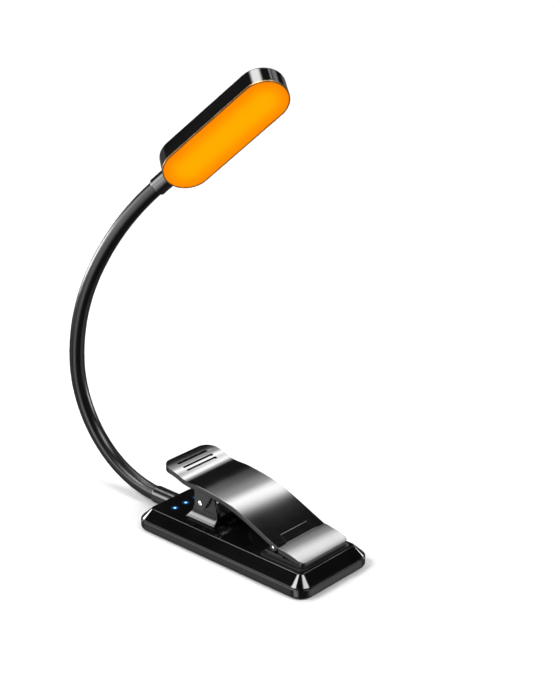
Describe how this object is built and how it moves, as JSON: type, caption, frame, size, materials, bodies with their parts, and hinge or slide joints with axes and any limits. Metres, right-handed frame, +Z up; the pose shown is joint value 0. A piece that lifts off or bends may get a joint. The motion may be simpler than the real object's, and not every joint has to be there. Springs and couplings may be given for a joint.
{
  "type": "clip on reading lamp",
  "caption": "Rechargeable book lamp: sprung clip on a bevelled base, bendable rubber-covered neck and a slim round-ended light head with a wide amber diffuser.",
  "frame": {"origin": "centre of the base's flat underside", "axes": "+X towards the clip's jaw end, +Y towards the charging socket and buttons, +Z up out of the underside"},
  "size_m": [0.1308, 0.064, 0.1602],
  "materials": {
    "shell_black": "gloss",
    "grip_rubber": "matte",
    "battery_foil": "satin",
    "circuit_board": "satin",
    "plated_steel": "polished",
    "switch_black": "matte",
    "button_black": "satin",
    "led_white": "gloss",
    "indicator_blue": "gloss",
    "screw_steel": "satin",
    "clip_black": "gloss",
    "lever_gunmetal": "gloss",
    "spring_steel": "satin",
    "collar_black": "gloss",
    "neck_rubber": "satin",
    "core_steel": "satin",
    "head_black": "gloss",
    "trim_gold": "satin",
    "diffuser_amber": "satin",
    "led_board_white": "matte"
  },
  "bodies": {
    "base": {"base_tray": "shell_black", "base_cover": "shell_black", "lower_grip_pad": "grip_rubber", "battery_cell": "battery_foil", "control_board": "circuit_board", "usb_c_socket": "plated_steel", "tact_switches": "switch_black", "indicator_leds": "led_white", "indicator_windows": "indicator_blue", "case_screws": "screw_steel", "bracket_screws": "screw_steel", "clip_bracket": "clip_black", "pivot_pin": "plated_steel", "torsion_spring": "spring_steel", "base_collar": "collar_black", "neck_sleeve_1": "neck_rubber", "neck_core_1": "core_steel"},
    "lever": {"clip_lever": "lever_gunmetal", "jaw_pin": "plated_steel"},
    "jaw": {"jaw_plate": "lever_gunmetal", "jaw_pad": "grip_rubber"},
    "power_button": {"power_button": "button_black"},
    "mode_button": {"mode_button": "button_black"},
    "neck_2": {"neck_sleeve_2": "neck_rubber", "neck_core_2": "core_steel"},
    "neck_3": {"neck_sleeve_3": "neck_rubber", "neck_core_3": "core_steel"},
    "neck_4": {"neck_sleeve_4": "neck_rubber", "neck_core_4": "core_steel"},
    "neck_5": {"neck_sleeve_5": "neck_rubber", "neck_core_5": "core_steel"},
    "neck_6": {"neck_sleeve_6": "neck_rubber", "neck_core_6": "core_steel"},
    "neck_7": {"neck_sleeve_7": "neck_rubber", "neck_core_7": "core_steel"},
    "neck_8": {"neck_sleeve_8": "neck_rubber", "neck_core_8": "core_steel"},
    "head": {"head_collar": "collar_black", "head_shell": "head_black", "head_trim_ring": "trim_gold", "diffuser": "diffuser_amber", "led_board": "led_board_white", "reading_leds": "led_white"}
  },
  "joints": [
    {"name": "clip_open", "type": "hinge", "parent": "base", "child": "lever", "pos_m": [-0.0149, 0, 0.01515], "axis": [0, -1, 0], "range_deg": [0, 38], "stiffness_Nm_per_rad": 0.22, "springref_deg": -34.38, "deforming": ["torsion_spring"]},
    {"name": "jaw_swivel", "type": "hinge", "parent": "lever", "child": "jaw", "pos_m": [0.0212, 0, 0.01185], "axis": [0, 1, 0], "range_deg": [0, 19]},
    {"name": "power_press", "type": "slide", "parent": "base", "child": "power_button", "axis": [0, -1, 0], "range_m": [0, 0.0004], "stiffness_N_per_m": 900, "springref_m": -0.0002},
    {"name": "mode_press", "type": "slide", "parent": "base", "child": "mode_button", "axis": [0, -1, 0], "range_m": [0, 0.0004], "stiffness_N_per_m": 900, "springref_m": -0.0002},
    {"name": "neck_bend_1", "type": "hinge", "parent": "base", "child": "neck_2", "pos_m": [-0.06269, 0, 0.00707], "axis": [0, 1, 0], "range_deg": [-25, 25]},
    {"name": "neck_bend_2", "type": "hinge", "parent": "neck_2", "child": "neck_3", "pos_m": [-0.07599, 0, 0.01596], "axis": [0.7071, 0, 0.7071], "range_deg": [-25, 25]},
    {"name": "neck_bend_3", "type": "hinge", "parent": "neck_3", "child": "neck_4", "pos_m": [-0.08488, 0, 0.02926], "axis": [0, -1, 0], "range_deg": [-25, 25]},
    {"name": "neck_bend_4", "type": "hinge", "parent": "neck_4", "child": "neck_5", "pos_m": [-0.088, 0, 0.04495], "axis": [0.7997, 0.6004, 0], "range_deg": [-25, 25]},
    {"name": "neck_bend_5", "type": "hinge", "parent": "neck_5", "child": "neck_6", "pos_m": [-0.08632, 0.00126, 0.06381], "axis": [0.6004, -0.7997, 0], "range_deg": [-25, 25]},
    {"name": "neck_bend_6", "type": "hinge", "parent": "neck_6", "child": "neck_7", "pos_m": [-0.08137, 0.00498, 0.08175], "axis": [-0.8579, -0.3058, 0.4129], "range_deg": [-25, 25]},
    {"name": "neck_bend_7", "type": "hinge", "parent": "neck_7", "child": "neck_8", "pos_m": [-0.07273, 0.0108, 0.09926], "axis": [-0.3825, 0.9166, -0.1161], "range_deg": [-25, 25]},
    {"name": "head_twist", "type": "hinge", "parent": "neck_8", "child": "head", "pos_m": [-0.06105, 0.01761, 0.1145], "axis": [0.6406, 0.3537, 0.6816], "range_deg": [-60, 60]}
  ],
  "couplings": [
    {"joint": "jaw_swivel", "follows": "clip_open", "ratio": 0.5}
  ]
}
